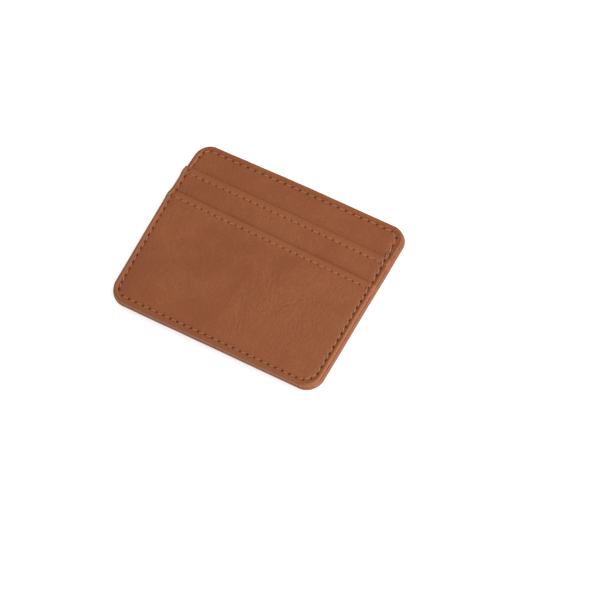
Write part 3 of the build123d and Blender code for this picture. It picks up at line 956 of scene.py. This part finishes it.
threadTan = makeThreadFinish("tan_thread", thread["tone"], thread["shade"])


def ringAcross(bm, sides, radius, filled):
    # A ring across X
    ring = bmesh.ops.create_circle(bm, segments=sides, radius=radius, cap_ends=filled)["verts"]
    bmesh.ops.rotate(bm, matrix=Matrix.Rotation(pi / 2, 3, "Y"), verts=ring)
    return ring


def makeStitch():
    # One stitch along X from 0 to 1: a closed tube with two plies, thinner at its ends
    bm = bmesh.new()
    paintedPlyShade = bm.verts.layers.float.new("paintedPlyShade")
    ringAcross(bm, thread["sides"], 1, True)
    faces = list(bm.faces)
    for _ in range(thread["rings"] - 1):
        grown = bmesh.ops.extrude_face_region(bm, geom=faces)["geom"]
        bmesh.ops.delete(bm, geom=faces, context="FACES_ONLY")
        faces = only(grown, BMFace)
        bmesh.ops.translate(bm, vec=(1 / (thread["rings"] - 1), 0, 0), verts=only(grown, BMVert))
    for vert in bm.verts:
        turn = atan2(vert.co.z, vert.co.y) + radians(thread["twist"]) * vert.co.x
        lobe = cos(2 * turn)
        belly = sin(pi * clamp(vert.co.x))
        size = 1 + thread["strandRelief"] * lobe
        size *= thread["endSize"] + (1 - thread["endSize"]) * belly ** 0.5
        vert.co.y *= size
        vert.co.z *= size
        # painted shade: darker between the two plies and towards the ends
        vert[paintedPlyShade] = (0.5 + 0.5 * lobe) * (thread["endShade"] + (1 - thread["endShade"]) * belly)
    return bakeMesh(bm, "stitch")


stitchMesh = makeStitch()


def surfaceOf(*pieces):
    graph = bpy.context.evaluated_depsgraph_get()
    return [BVHTree.FromObject(piece, graph) for piece in pieces]


def heightOver(trees, point, down):
    # The leather's height there, seen from the front or the back
    start = Vector((point.x, point.y, 30 if down else -20)) * mm
    heading = Vector((0, 0, -1 if down else 1))
    hits = [tree.ray_cast(start, heading)[0] for tree in trees]
    return (max if down else min)((hit.z / mm for hit in hits if hit), default=None)


def layStitch(bm, trees, start, end, down=True, thick=1.0, slant=thread["slant"]):
    first = Vector((*start, 0)) + askew(start)
    last = Vector((*end, 0)) + askew(end)
    ahead = (last - first).normalized()
    across = Vector((-ahead.y, ahead.x, 0))
    outward = 1 if down else -1
    count = thread["rings"]
    shares = [index / (count - 1) for index in range(count)]
    line = [first.lerp(last, share) + across * outward * slant * (2 * share - 1) for share in shares]
    heights = [heightOver(trees, point, down) for point in line]
    known = [height for height in heights if height is not None]
    if not known:
        return
    heights = [known[-1] if height is None else height for height in heights]  # past the edge
    for index in range(1, count - 1):
        nearby = heights[max(index - 1, 1):min(index + 2, count - 1)]
        top = (max if down else min)(nearby)
        line[index].z = (heights[index] + top) / 2 + outward * thread["ride"] * thick
    line[0].z = heights[1] - outward * thread["dip"]
    line[-1].z = heights[-2] - outward * thread["dip"]
    before = len(bm.verts)
    bm.from_mesh(stitchMesh)
    bm.verts.ensure_lookup_table()
    for vert in bm.verts[before:]:
        middle = line[round(clamp(vert.co.x) * (count - 1))]
        section = across * vert.co.y + Vector((0, 0, vert.co.z))
        vert.co = middle + section * thread["radius"] * thick


def layRows(bm, trees, rows, down=True, thick=1.0):
    # Side stitches slant more, and at the right they lie beside their holes
    for hole, following in [pair for holes in rows for pair in zip(holes, holes[1:])]:
        step = (following["at"] - hole["at"]).normalized() * thread["gap"]
        steep = abs(step.y) / step.length
        onRight = steep if step.y > 0 else 0.0
        aside = Vector((thread["sideShift"] * onRight, 0))
        whim = waver(*(hole["at"] * thread["unevenSize"]), 5)
        start = hole["at"] + step * hole["long"] + aside
        end = following["at"] - step * following["long"] + aside
        size = thick * (1 + thread["uneven"] * whim + thread["sideSwell"] * onRight)
        slant = thread["slant"] * (1 + whim) + thread["sideSlant"] * steep
        layStitch(bm, trees, start, end, down, size, slant)


def sewFront():
    trees = surfaceOf(bodyLeather, upperLeather, lowerLeather)
    bm = bmesh.new()
    layRows(bm, trees, (topRowHoles, seamHoles))
    layRows(bm, trees, (upperHemHoles, lowerHemHoles), thick=thread["hemShare"])
    # The seam's ends are sewn twice, each time a little off
    for first, second, third, thick in (
        (seamHoles[0], seamHoles[1], topRowHoles[-2], 1.35),
        (seamHoles[-1], seamHoles[-2], topRowHoles[1], 0.9),
    ):
        for other, offFirst, offOther in (
            (second, (0.2, 0.3), (0.25, 0.3)),
            (third, (-0.2, -0.5), (-0.1, -0.6)),
        ):
            start = first["at"] + Vector(offFirst)
            layStitch(bm, trees, start, other["at"] + Vector(offOther), thick=thick)
    # Each hem row's thread goes on over the beads
    for holes, mouth, left in (
        (upperHemHoles, upperMouth, upperLow.x),
        (lowerHemHoles, lowerMouth, lowerLow.x),
    ):
        y = mouth - sewing["hemRowDrop"]
        for start, end, thick, slant in (
            (holes[0]["at"], (left + 2.0, y), 1.0, 0.05),
            ((left + 2.0, y + 0.1), (left + 0.35, y), 1.1, 0.05),
            (holes[-1]["at"], (seamRight + 0.1, y), 1.0, 0.05),
            ((seamRight + 0.3, y - 0.1), (frontRight - 0.3, y), 1.1, -0.1),
        ):
            layStitch(bm, trees, start, end, thick=thick, slant=slant)
    finishMesh(bm, "front_threads", threadTan, "case")


def sewBack():
    bm = bmesh.new()
    layRows(bm, surfaceOf(backLeather), (topRowHoles, seamHoles), down=False)
    finishMesh(bm, "back_threads", threadTan, "case")


sewFront()
sewBack()

print("stage: linings")

lining = {
    "inset": 1.3,
    "thickness": 0.1,
    "stationStep": 1.2,
    "cell": 2.4,
    "reach": (52, 42),  # the cuts start this far from the middle, across and up
    "ripple": 0.02,
    "rippleSize": 6,
    "tone": (0.115, 0.062, 0.036),
    "weaveScale": 2600.0,
}


def makeWeave(name, tone):
    material, tree = newMaterial(name)
    place = objectPlace(tree)
    inputs = {"Vector": place, "Scale": lining["weaveScale"] / 6, "Distortion": 0.6}
    warp, weft = (addNode(tree, "TexWave", inputs, bands_direction=way).outputs["Fac"] for way in "XY")
    yarns = calculate(tree, "MAXIMUM", warp, weft)
    fade = times(tree, noiseAt(tree, place, 60.0), 0.3)
    colour = blendTones(tree, yarns, tuple(c * 0.55 for c in tone), tone)
    return dress(material, {
        "Base Color": blendTones(tree, fade, colour, tuple(c * 1.5 for c in tone)),
        "Normal": reliefFrom(tree, yarns, 0.00004, 0.8),
        "Roughness": 0.85,
        "Sheen Weight": 0.2,
    })


liningWeave = makeWeave("woven_lining", lining["tone"])


def layLining(half, path, below):
    node = half + "_compartment_lining"
    z = nodeBox(node)[1].z - below
    bm = bmesh.new()
    stations = round(pathLength(path) / lining["stationStep"])
    loop = bmesh.ops.create_circle(bm, segments=stations, radius=1, cap_ends=True)["verts"]
    for index, vert in enumerate(loop):
        point, ahead = alongPath(path, pathLength(path) * index / stations)
        inner = point + Vector((-ahead.y, ahead.x)) * lining["inset"]
        vert.co = (inner.x, inner.y, z)
    for normal, reach in zip((Vector((1, 0, 0)), Vector((0, 1, 0))), lining["reach"]):
        for step in range(1, round(2 * reach / lining["cell"])):
            place = normal * (step * lining["cell"] - reach)
            geometry = [*bm.verts, *bm.edges, *bm.faces]
            bmesh.ops.bisect_plane(bm, geom=geometry, dist=0.001, plane_co=place, plane_no=normal)
    for vert in bm.verts:
        vert.co.z += lining["ripple"] * waver(vert.co.x, vert.co.y, z, lining["rippleSize"])
    bmesh.ops.recalc_face_normals(bm, faces=bm.faces)
    if sum(f.normal.z for f in bm.faces) < 0:
        bmesh.ops.reverse_faces(bm, faces=bm.faces)
    flatArea = sum(f.calc_area() for f in bm.faces) * mm ** 2
    flat = tuple((high - low) * mm for low, high in zip(*extent(bm.verts)))
    piece = finishMesh(bm, half + "_lining", liningWeave, "case", skewed=True)
    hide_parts(node)
    thicken(piece, "cloth_thickness", lining["thickness"])
    print(piece.name, "flat", [round(side, 4) for side in flat], "area", round(flatArea, 6))


layLining("front", bodyPanel["path"], 0.03)
layLining("back", backPanel["path"], 0.05)

print("stage: clip metal and boards")

# Tone, how the brushing is stretched, roughness and relief
metal = {
    "clip_arm": ((0.6, 0.585, 0.56), (38, 2600, 2600), 0.3, 0.000006),
    "clip_base_plate": ((0.56, 0.55, 0.53), (60, 2200, 2200), 0.36, 0.000006),
    "clip_backing_plate": ((0.5, 0.5, 0.49), (60, 2200, 2200), 0.42, 0.000006),
    "clip_rivets": ((0.66, 0.655, 0.64), (900, 900, 900), 0.2, 0.000003),
    "clip_hinge_pin": ((0.64, 0.635, 0.62), (900, 300, 900), 0.24, 0.000003),
}


def makeMetal(name, tone, grain, roughness, relief):
    material, tree = newMaterial(name)
    brushed = noiseAt(tree, objectPlace(tree, grain), 1.0, 4.0, 0.6)
    smears = noiseAt(tree, objectPlace(tree), 240.0)
    darker = tuple(c * 0.8 for c in tone)
    colour = blendTones(tree, times(tree, spread(tree, brushed, 0.35, 0.7), 0.35), tone, darker)
    rough = spread(tree, brushed, 0.3, 0.7, roughness - 0.05, roughness + 0.1)
    return dress(material, {
        "Base Color": blendTones(tree, times(tree, smears, 0.12), colour, darker),
        "Roughness": calculate(tree, "ADD", rough, times(tree, smears, 0.06)),
        "Normal": reliefFrom(tree, brushed, relief, 0.9),
        "Metallic": 1.0,
    })


boardTones = {"dark": (0.4, 0.36, 0.3), "pale": (0.5, 0.46, 0.4), "fleck": (0.24, 0.19, 0.15)}


def makeBoard(name, tones):
    material, tree = newMaterial(name)
    fibres = noiseAt(tree, objectPlace(tree, (400, 1500, 1500)), 1.0, 4.0)
    flecks = spread(tree, noiseAt(tree, objectPlace(tree), 1900.0, 2.0), 0.55, 0.72)
    colour = blendTones(tree, spread(tree, fibres, 0.3, 0.7), tones["dark"], tones["pale"])
    return dress(material, {
        "Base Color": blendTones(tree, times(tree, flecks, 0.3), colour, tones["fleck"]),
        "Normal": reliefFrom(tree, fibres, 0.00003, 0.7),
        "Roughness": 0.9,
    })


for node, finish in metal.items():
    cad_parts[node].material_slots[0].material = makeMetal(node + "_steel", *finish)
board = makeBoard("stiffener_board", boardTones)
for node in ("front_stiffener", "back_stiffener"):
    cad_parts[node].material_slots[0].material = board

print("stage: torsion spring")

pinLow, pinHigh = nodeBox("clip_hinge_pin")
pivot = (pinLow + pinHigh) / 2
wire = {
    "radius": 0.225,
    "coilRadius": 0.925,
    "pitch": 0.87,
    "turns": 9.5,
    "stepsPerTurn": 18,
    "sides": 10,
    "legLength": 5.0,
    "legSteps": 5,
    "endSizes": (0.8, 0.45),  # the leg's end is rounded off in these steps
    "endStep": 0.05,
    "steel": ((0.46, 0.45, 0.44), (700, 700, 700), 0.32, 0.000004),
}


def windSpring():
    # The wire's section is spun round the pin, and a leg runs off each end
    bm = bmesh.new()
    steps = round(wire["turns"] * wire["stepsPerTurn"])
    width = wire["pitch"] * wire["turns"]
    section = ringAcross(bm, wire["sides"], wire["radius"], False)
    start = Vector((pivot.x, -width / 2, pivot.z + wire["coilRadius"]))
    bmesh.ops.translate(bm, vec=start, verts=section)
    firstRing = list(bm.edges)
    made = bmesh.ops.spin(
        bm, geom=[*section, *firstRing], cent=(pivot.x, 0, pivot.z), axis=(0, 1, 0),
        dvec=(0, width / steps, 0), angle=radians(360) * wire["turns"], steps=steps,
    )["geom_last"]
    for ring in (firstRing, only(made, BMEdge)):
        for _ in range(wire["legSteps"]):
            ring, verts = growEdges(bm, ring)
            step = (-wire["legLength"] / wire["legSteps"], 0, 0)
            bmesh.ops.translate(bm, vec=step, verts=verts)
        for size in wire["endSizes"]:
            middle = sum((v.co for v in verts), Vector()) / len(verts)
            ring, verts = growEdges(bm, ring)
            for vert in verts:
                vert.co = middle + (vert.co - middle) * size - Vector((wire["endStep"], 0, 0))
        bmesh.ops.contextual_create(bm, geom=ring)
    bmesh.ops.recalc_face_normals(bm, faces=bm.faces)
    steel = makeMetal("spring_steel", *wire["steel"])
    return finishMesh(bm, "torsion_spring_wire", steel, None)


spring = windSpring()
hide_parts("clip_torsion_spring")
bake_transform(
    spring,
    "case",
    "clip",
    start=(pivot.x * mm, 0, (pivot.z + 0.9) * mm),
    end=(pivot.x * mm, 0, (pivot.z - 0.9) * mm),
)

print("stage: floor, light and camera")

studio = {
    "floorSize": 6.0,
    "floorTone": 0.8,
    "floorGlow": 0.62,
    "worldLevel": 0.485,
    # Place, size and power
    "lights": {
        "key_light": ((0.5, 0.22, 0.68), 0.8, 4.2),
        "fill_light": ((0.62, -0.25, 0.12), 0.4, 2.7),
    },
}


def seenBy(tree, *kinds):
    # 1 for the camera's rays and these kinds, 0 for rays that only light the object
    rays = addNode(tree, "LightPath")
    seen = rays.outputs["Is Camera Ray"]
    for kind in kinds:
        seen = calculate(tree, "MAXIMUM", seen, rays.outputs["Is " + kind + " Ray"])
    return seen


bm = bmesh.new()
bmesh.ops.create_grid(bm, x_segments=1, y_segments=1, size=studio["floorSize"] / 2)
floor = addObject("floor", bakeMesh(bm, "floor"))

floorMaterial, tree = newMaterial("pale_floor")
shine = times(tree, seenBy(tree, "Glossy", "Transmission"), studio["floorGlow"])
glow = addNode(tree, "Emission", {"Strength": shine})
diffuse = addNode(tree, "BsdfDiffuse", {"Color": (studio["floorTone"],) * 3})
both = addNode(tree, "AddShader", {0: diffuse.outputs[0], 1: glow.outputs[0]})
clear = addNode(tree, "BsdfTransparent")  # seen from below, the floor isn't there
side = addNode(tree, "NewGeometry").outputs["Backfacing"]
chooser = addNode(tree, "MixShader", {0: side, 1: both.outputs[0], 2: clear.outputs[0]})
addNode(tree, "OutputMaterial", {"Surface": chooser.outputs[0]})
floor.data.materials.append(floorMaterial)

world = bpy.data.worlds.new("studio")
bpy.context.scene.world = world
tree = newTree(world)
level = calculate(tree, "MAXIMUM", seenBy(tree, "Transmission"), studio["worldLevel"])
sky = addNode(tree, "Background", {"Color": (1, 1, 1), "Strength": level})
addNode(tree, "OutputWorld", {"Surface": sky.outputs[0]})


def putAt(thing, place, turn):
    thing.location = place
    thing.rotation_mode = "QUATERNION"
    thing.rotation_quaternion = turn


for name, (place, size, power) in studio["lights"].items():
    light = bpy.data.lights.new(name, "AREA")
    light.energy = power
    light.size = size
    putAt(addObject(name, light), place, (-Vector(place)).to_track_quat("-Z", "Y"))

view = {
    "azimuth": 44.091,
    "elevation": 65.624,
    "roll": -16.475,
    "distance": 2.08626,
    "target": (0.02703, -0.007865, 0.007),
    "focalPixels": 5000.0,
    "longSide": 613,  # of the picture, in pixels
    "sensor": 36.0,
}
turn = Matrix.Rotation(radians(view["azimuth"]), 3, "Z")
turn @= Matrix.Rotation(radians(90 - view["elevation"]), 3, "X")
turn @= Matrix.Rotation(radians(view["roll"]), 3, "Z")
camera = addObject("camera", bpy.data.cameras.new("camera"))
camera.data.sensor_width = view["sensor"]
camera.data.lens = view["focalPixels"] / view["longSide"] * view["sensor"]
camera.data.clip_start = 0.1
camera.data.clip_end = 20
putAt(camera, Vector(view["target"]) + turn @ Vector((0, 0, view["distance"])), turn.to_quaternion())
bpy.context.scene.camera = camera

bpy.context.scene.view_settings.view_transform = "Standard"
